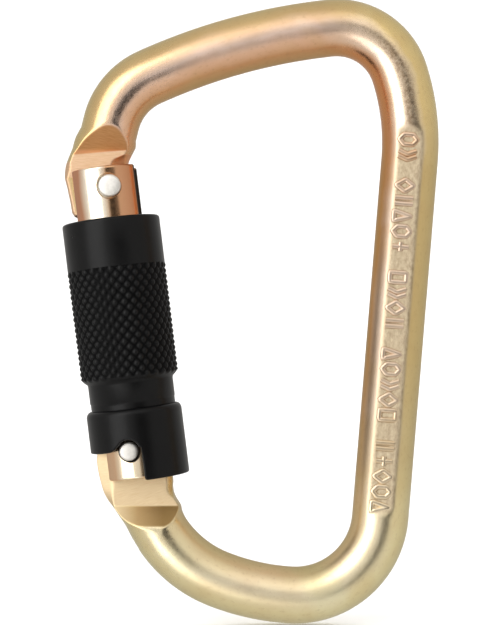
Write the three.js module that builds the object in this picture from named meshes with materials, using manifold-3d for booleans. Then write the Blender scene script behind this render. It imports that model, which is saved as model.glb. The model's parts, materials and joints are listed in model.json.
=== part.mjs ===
// Auto-locking steel carabiner (connector): a bent round bar, a pinned gate and a spring-loaded locking sleeve.
// Units are millimetres. +Z is up along the connector, +X runs from the gate to the spine, and the front faces
// -Y. The origin is where an anchor bears: the highest point inside the top basket.
// The gate, its sleeve and all that they hold are drawn in the gate's own frame: z along the gate's axis, z = 0
// at the hinge pin's height, x = 0 on the axis, +x towards the spine. That frame is then leaned and moved as one
// group.
import * as THREE from "three";
import { mergeVertices } from "three/addons/utils/BufferGeometryUtils.js";
import Module from "manifold-3d";

const wasm = await Module();
wasm.setup();

// Frame bar: its section, and its centreline from the nose round to the hinge.
const BAR_R = 5.5;
const BAR_SIDES = 24;
const BAR_STEPS = 84;
const NOSE_START = new THREE.Vector2(-28.9, 29.2);
const NOSE_HEADING = 76;
const CENTRELINE = [
  { length: 8 }, // nose leg
  { radius: 13.2, turn: 51.6 }, // bend over the gate
  { radius: 115, turn: 18.3 }, // broad top basket
  { radius: 12.8, turn: 78.4 }, // top corner
  { radius: 44, turn: 22.4 }, // easing into the spine
  { length: 69.7 }, // spine
  { radius: 16.6, turn: 88.8 }, // bottom corner
  { radius: 46, turn: 17.9 }, // bottom basket
  { radius: 23.4, turn: 48 }, // rise to the hinge
  { length: 5.4 }, // hinge leg
];

// Pressed flats at both ends, and the stamped panel on the spine.
const BLADE_HALF = 3.0;
const BLADE_EDGE = 1;
const SHOULDER_REACH = 12;
const NOSE_SHOULDER = { x: -28.6, z: 30.9, lean: 4.8, length: 5.3, up: 1 };
const HINGE_SHOULDER = { x: -20.6, z: -37.4, lean: 0, length: 4.2, up: -1 };
const PANEL_HALF = 5.05;
const PANEL = { x: 28.3, z: -1.6, length: 74, lean: 4.4 };

const TONGUE_FOOT = 45.8;

// Gate: a round bar with a slot at each end, pinned at the hinge.
const GATE_LEAN = 7; // degrees, top towards -X
const HINGE = new THREE.Vector2(-23.17, -26.6);
const HINGE_X = -1.4;
const LATCH = new THREE.Vector2(1.1, 50.8);
const GATE_R = 7.2;
const GATE_BOTTOM = -5.5;
const GATE_TOP = 54.7;
const GATE_CHAMFER = 0.5;
const SLOT_HALF = 3.3;
const HINGE_SLOT_TOP = 7.8;
const LATCH_SLOT_FLOOR = 43.2;
const PIN_R = 1.6;
const PIN_SIDES = 24;
const HINGE_HEAD_R = 1.85;
const LATCH_HEAD_R = 2.15;
const HEAD_TOP = 7.5;
const HEAD_EDGE = 0.45;
const SEAT_Y = 6.0;
const SEAT_GAP = 0.4;
const GAP = 0.3; // between pieces that touch
const RUNNING_GAP = 0.1; // round a pin in its hole
const PEENED_END = 6.5; // where the hinge rivet's back end stands

// Spring plunger in the gate's bore.
const BORE_R = 2.3;
const BORE_TOP = 31;
const TANG_TOP = 3.4;
const PLUNGER_R = 2.0;
const PLUNGER_TOP = 13.7;
const GATE_WIRE_R = 0.3;
const GATE_COIL_R = 1.65;
const GATE_COIL_TURNS = 11;

// Locking sleeve: knurled grip, and the lock collar pressed on its spigot.
const GRIP_TOP = 44.7;
const GRIP_R = 9.5;
const KNURL_TOP = 35.3;
const KNURL_BOTTOM = 14.6;
const KNURL_R = 9.6;
const NECK_TOP = 13.6;
const NECK_R = 8.3;
const NECK_BOTTOM = 8.3;
const SPIGOT_R = 8.2;
const SPIGOT_BOTTOM = 4.5;
const LAND_R = 7.45;
const LEDGE = 13.9;
const CHAMBER_R = 8.4;
const COLLAR_TOP = 8.0;
const COLLAR_SHOULDER = 6.9;
const COLLAR_R = 9.3;
const COLLAR_BORE_R = 8.5;
const SHORT_SKIRT = 0;
const LONG_SKIRT = -5.75;
const ARCH_R = 2.4;
const SKIRT_FRONT = 1.2; // x of the long skirt's front edge
const SKIRT_BACK_ANGLE = 15; // degrees past the inner side at which its back edge stands

// Stop collar and sleeve spring.
const STOP_BOTTOM = 39.5;
const STOP_TOP = 43.0;
const STOP_R = 8.1;
const SLEEVE_WIRE_R = 0.35;
const SLEEVE_COIL_R = 7.85;
const SLEEVE_COIL_TURNS = 8;

const MATERIALS = {
  plated_steel: { color: 0xd2a96a, roughness: 0.3, metalness: 1 },
  rivet_steel: { color: 0xdedbd4, roughness: 0.35, metalness: 1 },
  black_sleeve: { color: 0x1d1d1f, roughness: 0.45, metalness: 0.3 },
  spring_steel: { color: 0x9a9a98, roughness: 0.35, metalness: 1 },
};

const rad = THREE.MathUtils.degToRad;

// A path of straights and clockwise bends in the XZ plane, each tangent to the last.
class BarCentreline extends THREE.Curve {
  constructor(start, headingDeg, pieces) {
    super();
    this.pieces = [];
    this.total = 0;
    let at = start.clone();
    let heading = rad(headingDeg);
    for (const piece of pieces) {
      const length = piece.length ?? piece.radius * rad(piece.turn);
      this.pieces.push({ ...piece, length, start: at, heading, from: this.total });
      at = this.along(this.pieces.at(-1), length);
      heading -= piece.radius ? rad(piece.turn) : 0;
      this.total += length;
    }
  }

  along({ start, heading, radius }, s) {
    if (!radius) {
      return new THREE.Vector2(start.x + s * Math.cos(heading), start.y + s * Math.sin(heading));
    }
    const turned = heading - s / radius;
    return new THREE.Vector2(
      start.x + radius * (Math.sin(heading) - Math.sin(turned)),
      start.y + radius * (Math.cos(turned) - Math.cos(heading)),
    );
  }

  getPoint(t, target = new THREE.Vector3()) {
    const s = THREE.MathUtils.clamp(t, 0, 1) * this.total;
    const piece = this.pieces.findLast((p) => p.from <= s + 1e-9) ?? this.pieces[0];
    const at = this.along(piece, s - piece.from);
    return target.set(at.x, 0, at.y);
  }
}

// A helix of a number of turns about z.
class Helix extends THREE.Curve {
  constructor(radius, bottom, top, turns) {
    super();
    Object.assign(this, { radius, bottom, top, turns });
  }

  getPoint(t, target = new THREE.Vector3()) {
    const angle = 2 * Math.PI * this.turns * t;
    const z = THREE.MathUtils.lerp(this.bottom, this.top, t);
    return target.set(this.radius * Math.cos(angle), this.radius * Math.sin(angle), z);
  }
}

// Turns a closed geometry into a manifold-3d solid, and back.
function solid(geometry) {
  const bare = geometry.index ? geometry.toNonIndexed() : geometry.clone();
  bare.deleteAttribute("normal");
  bare.deleteAttribute("uv");
  const merged = mergeVertices(bare, 1e-4);
  return new wasm.Manifold(
    new wasm.Mesh({
      numProp: 3,
      vertProperties: new Float32Array(merged.attributes.position.array),
      triVerts: new Uint32Array(merged.index.array),
    }),
  );
}

function geometryOf(manifold) {
  const { vertProperties, triVerts } = manifold.getMesh();
  const geometry = new THREE.BufferGeometry();
  geometry.setAttribute("position", new THREE.BufferAttribute(vertProperties, 3));
  geometry.setIndex(new THREE.BufferAttribute(triVerts, 1));
  geometry.computeVertexNormals();
  return geometry;
}

function mesh(name, manifold, material) {
  const finish = new THREE.MeshStandardMaterial(MATERIALS[material]);
  const made = new THREE.Mesh(geometryOf(manifold), finish);
  made.name = name;
  return made;
}

function circle(radius, sides) {
  const points = [];
  for (let i = 0; i < sides; i++) {
    const angle = (2 * Math.PI * i) / sides;
    points.push(new THREE.Vector2(radius * Math.cos(angle), radius * Math.sin(angle)));
  }
  return new THREE.Shape(points);
}

// A round tube along a curve, closed at both ends.
function rod(curve, radius, sides, steps) {
  const options = { extrudePath: curve, steps, bevelEnabled: false };
  return solid(new THREE.ExtrudeGeometry(circle(radius, sides), options));
}

// A solid of revolution about z from [radius, z] pairs that run up the outside.
function turned(profile, sides = 48) {
  const points = profile.map(([r, z]) => new THREE.Vector2(r, z));
  return solid(new THREE.LatheGeometry(points, sides).rotateX(Math.PI / 2));
}

function tube(inner, outer, bottom, top) {
  return turned([
    [inner, bottom],
    [outer, bottom],
    [outer, top],
    [inner, top],
    [inner, bottom],
  ]);
}

function block(x0, x1, y0, y1, z0, z1) {
  const box = new THREE.BoxGeometry(x1 - x0, y1 - y0, z1 - z0);
  return solid(box.translate((x0 + x1) / 2, (y0 + y1) / 2, (z0 + z1) / 2));
}

// A cylinder along Y at (x, z).
function crossPin(radius, x, z, y0, y1) {
  const geometry = new THREE.CylinderGeometry(radius, radius, y1 - y0, PIN_SIDES);
  return solid(geometry.translate(x, (y0 + y1) / 2, z));
}

// A shape drawn out along z from z0 to z1.
function prism(outline, z0, z1) {
  const options = { depth: z1 - z0, bevelEnabled: false };
  return new THREE.ExtrudeGeometry(new THREE.Shape(outline), options).translate(0, 0, z0);
}

// A flat outline in the XZ plane, drawn half thick each side of y = 0, with chamfered edges.
function plate(outline, half, edge) {
  const geometry = new THREE.ExtrudeGeometry(new THREE.Shape(outline), {
    depth: 2 * (half - edge),
    bevelEnabled: edge > 0,
    bevelThickness: edge,
    bevelSize: edge,
    bevelOffset: -edge,
    bevelSegments: 2,
  });
  return solid(geometry.translate(0, 0, edge - half).rotateX(Math.PI / 2));
}

function arc(cx, cz, radius, fromDeg, toDeg, count) {
  const points = [];
  for (let i = 0; i <= count; i++) {
    const angle = rad(THREE.MathUtils.lerp(fromDeg, toDeg, i / count));
    points.push(new THREE.Vector2(cx + radius * Math.cos(angle), cz + radius * Math.sin(angle)));
  }
  return points;
}

const corner = (x, z) => new THREE.Vector2(x, z);

// Moves a solid from the gate's frame to the frame bar's.
function fromGate(manifold) {
  const geometry = geometryOf(manifold);
  geometry.translate(-HINGE_X, 0, 0);
  geometry.rotateY(-rad(GATE_LEAN));
  geometry.translate(HINGE.x, 0, HINGE.y);
  return solid(geometry);
}

// The hinge tang: round about the hinge pin, flat on top for the plunger, relieved on the inside.
function tangOutline() {
  const tipR = 6.6;
  const inside = 6.1;
  const topAngle = 180 - THREE.MathUtils.radToDeg(Math.asin(TANG_TOP / tipR));
  return [
    corner(3.5, -15.5),
    corner(6.6, -14.2),
    corner(6.9, -12.4),
    corner(6.2, -10.8),
    corner(5.9, -9.6),
    corner(5.9, -8),
    corner(inside, -6.5),
    corner(inside, 2),
    corner(4.8, TANG_TOP),
    ...arc(HINGE_X, 0, tipR, topAngle, 193, 6),
    corner(-7.8, -5.7),
    corner(-7.4, -7.8),
    corner(-6.7, -9.5),
    corner(-5.6, -11.2),
    corner(-4.4, -12.6),
  ];
}

// The nose tongue: a hook that the latch pin enters from the inside.
function noseOutline() {
  const notchR = PIN_R + GAP + 0.05;
  const lipInside = 4.3;
  return [
    corner(-3.4, 63.4),
    corner(-4.7, 61.4),
    corner(-5.5, 59.5),
    corner(-6.5, 57.6),
    corner(-7.25, 56),
    corner(-7.7, 54.2),
    corner(-7.7, 53.3),
    corner(-7.15, 52.6),
    corner(-7.15, 47),
    corner(-5.9, TONGUE_FOOT),
    corner(3.4, TONGUE_FOOT),
    corner(lipInside, TONGUE_FOOT + 0.9),
    corner(lipInside, LATCH.y - notchR - 0.5),
    ...arc(LATCH.x, LATCH.y, notchR, 270, 90, 10),
    corner(3.1, LATCH.y + notchR),
    corner(4.9, 55.3),
    corner(5.4, 56.1),
    corner(6.6, 58.1),
    corner(4.5, 61),
  ];
}

// What the press removes beside a blade: all beyond BLADE_HALF, then a slope up to the full bar.
function shoulderCut({ x, z, lean, length, up }, side) {
  const profile = [
    corner(-SHOULDER_REACH, BLADE_HALF),
    corner(0, BLADE_HALF),
    corner(length, BAR_R + 0.1),
    corner(length, 2 * BAR_R),
    corner(-SHOULDER_REACH, 2 * BAR_R),
  ].map((p) => new THREE.Vector2(p.y * side, p.x * up));
  const geometry = prism(profile, -3 * BAR_R, 3 * BAR_R);
  // The profile's x becomes y, its y becomes z and its depth becomes x.
  geometry.applyMatrix4(new THREE.Matrix4().set(0, 0, 1, 0, 1, 0, 0, 0, 0, 1, 0, 0, 0, 0, 0, 1));
  return solid(geometry.rotateY(-rad(lean)).translate(x, 0, z));
}

function panelCut(side) {
  const geometry = new THREE.BoxGeometry(4 * BAR_R, BAR_R, PANEL.length);
  geometry.translate(0, side * (PANEL_HALF + BAR_R / 2), 0);
  return solid(geometry.rotateY(rad(PANEL.lean)).translate(PANEL.x, 0, PANEL.z));
}

function frameBar(centreline) {
  let bar = rod(centreline, BAR_R, BAR_SIDES, BAR_STEPS);
  for (const side of [-1, 1]) {
    bar = bar.subtract(shoulderCut(NOSE_SHOULDER, side));
    bar = bar.subtract(shoulderCut(HINGE_SHOULDER, side));
    bar = bar.subtract(panelCut(side));
  }
  const tang = plate(tangOutline(), BLADE_HALF, BLADE_EDGE).subtract(
    crossPin(PIN_R + RUNNING_GAP, HINGE_X, 0, -SEAT_Y, SEAT_Y),
  );
  return bar.add(fromGate(tang)).add(fromGate(plate(noseOutline(), BLADE_HALF, BLADE_EDGE)));
}

function gateBar() {
  const c = GATE_CHAMFER;
  let bar = turned([
    [0, GATE_BOTTOM],
    [GATE_R - c, GATE_BOTTOM],
    [GATE_R, GATE_BOTTOM + c],
    [GATE_R, GATE_TOP - c],
    [GATE_R - c, GATE_TOP],
    [0, GATE_TOP],
  ]);
  const past = 2 * GATE_R;
  bar = bar.subtract(block(-past, past, -SLOT_HALF, SLOT_HALF, GATE_BOTTOM - 1, HINGE_SLOT_TOP));
  bar = bar.subtract(block(-past, past, -SLOT_HALF, SLOT_HALF, LATCH_SLOT_FLOOR, GATE_TOP + 1));
  const bore = [
    [0, HINGE_SLOT_TOP - 1],
    [BORE_R, HINGE_SLOT_TOP - 1],
    [BORE_R, BORE_TOP],
    [0, BORE_TOP],
  ];
  const latchSeat = LATCH_HEAD_R + SEAT_GAP;
  return bar
    .subtract(turned(bore, PIN_SIDES))
    .subtract(crossPin(PIN_R + RUNNING_GAP, HINGE_X, 0, -past, past))
    .subtract(crossPin(HINGE_HEAD_R + SEAT_GAP, HINGE_X, 0, -past, -SEAT_Y))
    .subtract(crossPin(PIN_R + RUNNING_GAP, LATCH.x, LATCH.y, -past, past))
    .subtract(crossPin(latchSeat, LATCH.x, LATCH.y, -past, -SEAT_Y))
    .subtract(crossPin(latchSeat, LATCH.x, LATCH.y, SEAT_Y, past));
}

// A domed rivet head that stands in its seat, facing outwards along side.
function rivetHead(radius, x, z, side) {
  const back = SEAT_Y + GAP;
  const points = [
    corner(0, back),
    corner(radius, back),
    corner(radius, HEAD_TOP - HEAD_EDGE),
    corner(radius - HEAD_EDGE, HEAD_TOP),
    corner(0, HEAD_TOP),
  ];
  const geometry = new THREE.LatheGeometry(points, PIN_SIDES);
  if (side < 0) geometry.rotateX(Math.PI);
  return solid(geometry.translate(x, 0, z));
}

function hingeRivet() {
  const shank = crossPin(PIN_R, HINGE_X, 0, -SEAT_Y - 2 * GAP, PEENED_END);
  return shank.add(rivetHead(HINGE_HEAD_R, HINGE_X, 0, -1));
}

function latchPin() {
  const reach = SEAT_Y + 2 * GAP;
  const { x, y: z } = LATCH;
  return crossPin(PIN_R, x, z, -reach, reach)
    .add(rivetHead(LATCH_HEAD_R, x, z, -1))
    .add(rivetHead(LATCH_HEAD_R, x, z, 1));
}

function plunger() {
  const tip = TANG_TOP + GAP;
  const dome = arc(0, tip + PLUNGER_R, PLUNGER_R, 270, 360, 6).map((p) => [Math.max(p.x, 0), p.y]);
  dome[0][0] = 0;
  return turned([...dome, [PLUNGER_R, PLUNGER_TOP], [0, PLUNGER_TOP]], PIN_SIDES);
}

function coil(radius, wire, bottom, top, turns) {
  const path = new Helix(radius, bottom + wire + GAP, top - wire - GAP, turns);
  return rod(path, wire, 6, 14 * turns);
}

function gripSleeve() {
  const c = 0.4;
  return turned([
    [LAND_R, SPIGOT_BOTTOM],
    [SPIGOT_R, SPIGOT_BOTTOM],
    [SPIGOT_R, NECK_BOTTOM],
    [NECK_R, NECK_BOTTOM],
    [NECK_R, NECK_TOP],
    [KNURL_R - 0.5, NECK_TOP + 0.2],
    [KNURL_R, KNURL_BOTTOM],
    [KNURL_R, KNURL_TOP - c],
    [GRIP_R, KNURL_TOP],
    [GRIP_R, GRIP_TOP - c],
    [GRIP_R - c, GRIP_TOP],
    [CHAMBER_R, GRIP_TOP],
    [CHAMBER_R, LEDGE],
    [LAND_R, LEDGE],
    [LAND_R, SPIGOT_BOTTOM],
  ]);
}

// The collar's long skirt blocks the gate; an arch over the rivet's head parts it from the short skirt.
function lockCollar() {
  const c = 0.5;
  const collar = turned([
    [COLLAR_BORE_R, LONG_SKIRT],
    [COLLAR_R - c, LONG_SKIRT],
    [COLLAR_R, LONG_SKIRT + c],
    [COLLAR_R, COLLAR_SHOULDER],
    [COLLAR_R - 0.7, COLLAR_TOP],
    [COLLAR_BORE_R, COLLAR_TOP],
    [COLLAR_BORE_R, LONG_SKIRT],
  ]);
  const reach = 2 * COLLAR_R;
  const back = rad(SKIRT_BACK_ANGLE);
  const away = [
    corner(0, 0),
    corner(reach * Math.cos(back), reach * Math.sin(back)),
    corner(reach, reach),
    corner(-reach, reach),
    corner(-reach, -reach),
    corner(SKIRT_FRONT, -reach),
    corner(SKIRT_FRONT, 0),
  ];
  const arch = prism(archOutline(), 0, reach).rotateX(Math.PI / 2);
  return collar.subtract(solid(prism(away, LONG_SKIRT - 1, SHORT_SKIRT))).subtract(solid(arch));
}

// The arch over the rivet's head, running down on the left to the short skirt's edge.
function archOutline() {
  return [
    corner(SKIRT_FRONT, -1),
    corner(SKIRT_FRONT, 0.7),
    ...arc(HINGE_X, 0, ARCH_R, 20, 140, 9),
    corner(HINGE_X - 2.3, 0.95),
    corner(HINGE_X - 2.8, 0.45),
    corner(HINGE_X - 3.6, 0.1),
    corner(HINGE_X - 4.4, SHORT_SKIRT - 0.1),
    corner(HINGE_X - 4.4, -1),
  ];
}

function gateGroup() {
  const gateCoil = coil(GATE_COIL_R, GATE_WIRE_R, PLUNGER_TOP, BORE_TOP, GATE_COIL_TURNS);
  const sleeveCoil = coil(SLEEVE_COIL_R, SLEEVE_WIRE_R, LEDGE, STOP_BOTTOM, SLEEVE_COIL_TURNS);
  const group = new THREE.Group();
  group.add(
    mesh("gate_bar", gateBar(), "plated_steel"),
    mesh("hinge_rivet", hingeRivet(), "rivet_steel"),
    mesh("latch_pin", latchPin(), "rivet_steel"),
    mesh("plunger", plunger(), "rivet_steel"),
    mesh("gate_spring", gateCoil, "spring_steel"),
    mesh("stop_collar", tube(LAND_R, STOP_R, STOP_BOTTOM, STOP_TOP), "rivet_steel"),
    mesh("sleeve_spring", sleeveCoil, "spring_steel"),
    mesh("grip_sleeve", gripSleeve(), "black_sleeve"),
    mesh("lock_collar", lockCollar(), "black_sleeve"),
  );
  for (const part of group.children) part.position.x = -HINGE_X;
  group.rotation.y = -rad(GATE_LEAN);
  group.position.set(HINGE.x, 0, HINGE.y);
  return group;
}

const centreline = new BarCentreline(NOSE_START, NOSE_HEADING, CENTRELINE);
const anchor = centreline.getPoints(500).reduce((a, b) => (b.z > a.z ? b : a));
const connector = new THREE.Group();
connector.add(mesh("frame_bar", frameBar(centreline), "plated_steel"), gateGroup());
connector.position.set(-anchor.x, 0, BAR_R - anchor.z);

export default connector;
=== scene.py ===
"""Looks for the auto-locking steel carabiner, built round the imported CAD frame.

Lengths are millimetres until a mesh is made, then metres in the row frame. The gate, its rivets and its
sleeve are drawn in the gate's frame: x towards the spine, y away from the viewer, w up the gate's axis from
the hinge pin.
"""
import json
import math

import bmesh
import bpy
import numpy as np
from mathutils import Matrix, Vector


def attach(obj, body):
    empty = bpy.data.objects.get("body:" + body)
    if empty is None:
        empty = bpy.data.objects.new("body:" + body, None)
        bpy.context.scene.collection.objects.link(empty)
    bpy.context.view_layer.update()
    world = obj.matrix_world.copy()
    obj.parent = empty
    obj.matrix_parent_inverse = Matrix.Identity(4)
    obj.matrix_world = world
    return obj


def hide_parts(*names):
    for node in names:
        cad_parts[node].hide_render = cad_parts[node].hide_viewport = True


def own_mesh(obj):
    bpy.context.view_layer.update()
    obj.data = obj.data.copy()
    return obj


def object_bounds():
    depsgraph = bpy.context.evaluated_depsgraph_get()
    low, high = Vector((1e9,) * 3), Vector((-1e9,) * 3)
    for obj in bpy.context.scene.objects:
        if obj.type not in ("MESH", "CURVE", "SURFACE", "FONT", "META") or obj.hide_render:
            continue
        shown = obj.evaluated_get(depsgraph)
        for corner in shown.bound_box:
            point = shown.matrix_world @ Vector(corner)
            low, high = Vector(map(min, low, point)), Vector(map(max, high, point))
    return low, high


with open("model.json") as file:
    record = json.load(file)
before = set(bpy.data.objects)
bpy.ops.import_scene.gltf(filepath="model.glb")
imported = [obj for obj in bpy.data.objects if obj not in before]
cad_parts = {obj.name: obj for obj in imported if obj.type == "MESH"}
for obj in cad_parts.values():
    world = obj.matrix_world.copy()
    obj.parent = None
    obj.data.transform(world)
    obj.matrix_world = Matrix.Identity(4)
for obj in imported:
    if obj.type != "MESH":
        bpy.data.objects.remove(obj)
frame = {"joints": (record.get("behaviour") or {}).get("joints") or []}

CAD_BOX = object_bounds()
MM = 0.001

# --- Frame bar ---
BAR_R = 5.5
NOSE_START = (-28.9, 29.2)
NOSE_HEADING = 76.0
CENTRELINE = (  # (radius, degrees clockwise) for a bend, (length,) for a straight
    (8.0,),
    (13.2, 51.6), (115.0, 18.3), (12.8, 78.4), (44.0, 22.4),
    (69.7,),
    (16.6, 88.8), (46.0, 17.9), (23.4, 48.0),
    (5.4,),
)
FIRST_BAR_S = 5.73  # where the nose has become plain bar, along the centreline
LAST_BAR_S = 215.4  # where the bar starts to spread into the hinge tang
FINE_STEP = 0.16
COARSE_STEP = 0.8
FINE_LENGTH = 8.0  # of bar beside each pressed end
NOSE_ROWS = 72
TANG_ROWS = 96
SIDE_STEPS = 72  # points across the front of the bar, and again across its back
BLADE_HALF = 3.0
EDGE_LOW = 1.9  # half thickness at the foot of the pressed slopes along the blades' sides
CREASE = 0.22
WELD = 1e-6  # metres: closer points are one point, as at a lathe's poles

# Gate frame origin and lean, in the same coordinates as the centreline.
HINGE = (-23.17, -26.6)
HINGE_X = -1.4
GATE_LEAN = math.radians(7)

# Shoulders where the press stopped: (x, z, lean in degrees, length of the slope, +1 up or -1 down).
NOSE_SHOULDER = (-28.6, 30.9, 4.8, 5.3, 1)
HINGE_SHOULDER = (-20.6, -37.4, 0.0, 4.2, -1)
PANEL_HALF = 4.98
PANEL_CENTRE = (28.3, -1.6)
PANEL_LENGTH = 74.5
PANEL_LEAN = math.radians(4.4)
PANEL_TILT = math.radians(5)  # the flat faces a little towards the gate

# Silhouettes of the pressed ends in the gate's frame, (x, w).
TONGUE_OUTER = ((-6.0, 45.8), (-6.7, 46.1), (-7.1, 46.9), (-7.2, 49.0), (-7.45, 51.8), (-7.65, 53.3))
TONGUE_INNER = ((3.3, 45.8), (4.1, 46.3), (4.3, 46.8), (4.3, 48.3), (1.6, 48.85))
NOTCH_CENTRE = (1.1, 50.8)
NOTCH_R = 1.95
TONGUE_INNER_TOP = ((2.6, 52.8), (3.5, 53.3))
NOSE_OUTER = (
    (-7.65, 53.3), (-7.7, 54.2), (-7.26, 56.2), (-6.55, 57.7), (-5.56, 59.5), (-4.75, 61.4),
)
NOSE_INNER = ((3.5, 53.3), (4.7, 54.9), (5.2, 55.9), (6.0, 57.1), (6.7, 58.2))
TANG_OUTER = (
    (-2.2, -19.6), (-3.3, -17.1), (-4.1, -14.9), (-4.95, -13.0), (-6.0, -10.9), (-6.9, -9.3),
    (-7.55, -7.7), (-7.9, -5.7), (-8.15, -3.5), (-8.2, -1.5),
)
TANG_INNER = (
    (7.65, -14.8), (7.4, -14.2), (7.07, -13.1), (7.0, -12.2), (6.67, -11.4), (6.27, -10.6), (5.94, -9.4),
    (5.92, -8.1), (6.1, -6.7), (6.1, -1.5),
)
TANG_TOP = 3.4
TANG_TIP_R = 6.6

# --- Gate ---
GATE_R = 7.2
GATE_BOTTOM = -5.5
GATE_TOP = 54.7
SLOT_HALF = 3.3
INNER_LIP_X = 5.75
SLOT_TOP = 7.8
SLOT_FLOOR = 43.2
CHEEK_OVERLAP = 0.45  # how far the ears run into the middle of the gate
PIN_R = 1.6
HINGE_HEAD_R = 1.85
LATCH_HEAD_R = 2.15
HEAD_TOP = 7.5
SEAT_Y = 6.0
SEAT_GAP = 0.22
BORE_R = 2.3
BORE_TOP = 31.0
PLUNGER_R = 2.0
PLUNGER_BOTTOM = 3.7
PLUNGER_TOP = 13.7
GATE_COIL_R = 1.65
GATE_WIRE_R = 0.3
GATE_COIL_TURNS = 11
GAP = 0.3  # left at each end of a spring

# --- Locking sleeve ---
GRIP_TOP = 44.7
GRIP_R = 9.5
KNURL_TOP = 35.3
KNURL_BOTTOM = 14.4
KNURL_R = 9.6
KNURL_DEPTH = 0.37
KNURLS = 31
KNURL_PITCH = 2.15
KNURL_STEPS = 10  # points across one diamond
SMOOTH_CREST = 0.7  # the crest attribute where there is no knurl
NECK_R = 8.3
LAND_R = 7.45
LEDGE = 13.9
CHAMBER_R = 8.4
SPIGOT_R = 8.2
SPIGOT_BOTTOM = 4.5
COLLAR_TOP = 8.0
COLLAR_SHOULDER = 6.9
COLLAR_R = 9.3
COLLAR_BORE_R = 8.5
LIP_R = 0.32  # rounding of the skirt's lower edge
SHORT_SKIRT = 0.0
LONG_SKIRT = -5.75
ARCH_R = 2.28
SKIRT_FRONT = 1.2
SKIRT_BACK = math.radians(15)
STOP_BOTTOM = 39.5
STOP_TOP = 43.0
STOP_R = 8.1
SLEEVE_COIL_R = 7.85
SLEEVE_WIRE_R = 0.35
SLEEVE_COIL_TURNS = 8


# ---------------------------------------------------------------- places
def joint(name):
    return next(j for j in frame["joints"] if j["name"] == name)


def gate_matrix():
    """Takes gate-frame millimetres to row-frame metres."""
    up = -Vector(joint("sleeve_turn")["axis"])
    inward = Vector((0, 1, 0)).cross(up)
    origin = Vector(joint("gate_swing")["pos_m"]) - inward * HINGE_X * MM
    turn = Matrix((inward, (0, 1, 0), up)).transposed().to_4x4()
    return Matrix.Translation(origin) @ turn @ Matrix.Scale(MM, 4)


class Bar:
    """The bar's centreline, in millimetres, measured from the nose."""

    def __init__(self):
        self.pieces = []
        at, heading, total = np.array(NOSE_START), math.radians(NOSE_HEADING), 0.0
        for piece in CENTRELINE:
            radius = piece[0] if len(piece) == 2 else 0.0
            turn = math.radians(piece[1]) if radius else 0.0
            length = radius * turn if radius else piece[0]
            self.pieces.append((total, at, heading, radius))
            at = self.along(at, heading, radius, length)
            heading -= turn
            total += length
        highest = max((self.at(s)[0] for s in np.linspace(0, total, 2001)), key=lambda p: p[1])
        self.shift = np.array((-highest[0], BAR_R - highest[1]))

    @staticmethod
    def along(at, heading, radius, s):
        if not radius:
            return at + s * np.array((math.cos(heading), math.sin(heading)))
        turned = heading - s / radius
        bend = (math.sin(heading) - math.sin(turned), math.cos(turned) - math.cos(heading))
        return at + radius * np.array(bend)

    def at(self, s):
        """The centre and the outward normal at s."""
        start, at, heading, radius = next(p for p in reversed(self.pieces) if p[0] <= s + 1e-9)
        turned = heading - (s - start) / radius if radius else heading
        return self.along(at, heading, radius, s - start), np.array((-math.sin(turned), math.cos(turned)))


BAR = Bar()
GATE = gate_matrix()


def from_gate(points):
    """(x, w) in the gate's frame to the centreline's plane."""
    p = np.atleast_2d(np.array(points, float))
    x, w = p[:, 0] - HINGE_X, p[:, 1]
    c, s = math.cos(GATE_LEAN), math.sin(GATE_LEAN)
    return np.stack((HINGE[0] + x * c - w * s, HINGE[1] + x * s + w * c), 1)


# ---------------------------------------------------------------- mesh tools
def distances(path):
    """How far along a path each of its points is."""
    return np.concatenate(([0], np.cumsum(np.linalg.norm(np.diff(path, axis=0), axis=1))))


def even_path(points, count, smooth=True):
    """count points spread evenly along a path through points."""
    p = np.array(points, float)
    if smooth and len(p) > 2:
        ends = np.vstack((2 * p[0] - p[1], p, 2 * p[-1] - p[-2]))
        t = np.linspace(0, 1, 12, endpoint=False)[:, None]
        runs = []
        for a, b, c, d in zip(ends, ends[1:], ends[2:], ends[3:]):
            square, cube = 2 * a - 5 * b + 4 * c - d, 3 * b - a - 3 * c + d
            runs.append(0.5 * (2 * b + (c - a) * t + square * t**2 + cube * t**3))
        p = np.vstack((*runs, p[-1:]))
    walked = distances(p)
    want = np.linspace(0, walked[-1], count)
    return np.stack([np.interp(want, walked, p[:, i]) for i in range(p.shape[1])], 1)


def soft_min(a, b, k):
    h = np.clip(0.5 + 0.5 * (b - a) / k, 0, 1)
    return b + (a - b) * h - k * h * (1 - h)


def step(a, b, x):
    t = np.clip((x - a) / (b - a), 0, 1)
    return t * t * (3 - 2 * t)


def ring_faces(rows, around, close_rows=False):
    """Quads of a grid that is closed round each row."""
    faces = []
    for i in range(rows if close_rows else rows - 1):
        a, b = i * around, ((i + 1) % rows) * around
        faces += [(a + j, a + (j + 1) % around, b + (j + 1) % around, b + j) for j in range(around)]
    return faces


def new_mesh(name, grid):
    mesh = bpy.data.meshes.new(name)
    mesh.from_pydata([Vector(p) for p in grid[0]], [], grid[1])
    return mesh


def new_object(name, data):
    made = bpy.data.objects.new(name, data)
    bpy.context.scene.collection.objects.link(made)
    return made


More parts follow.
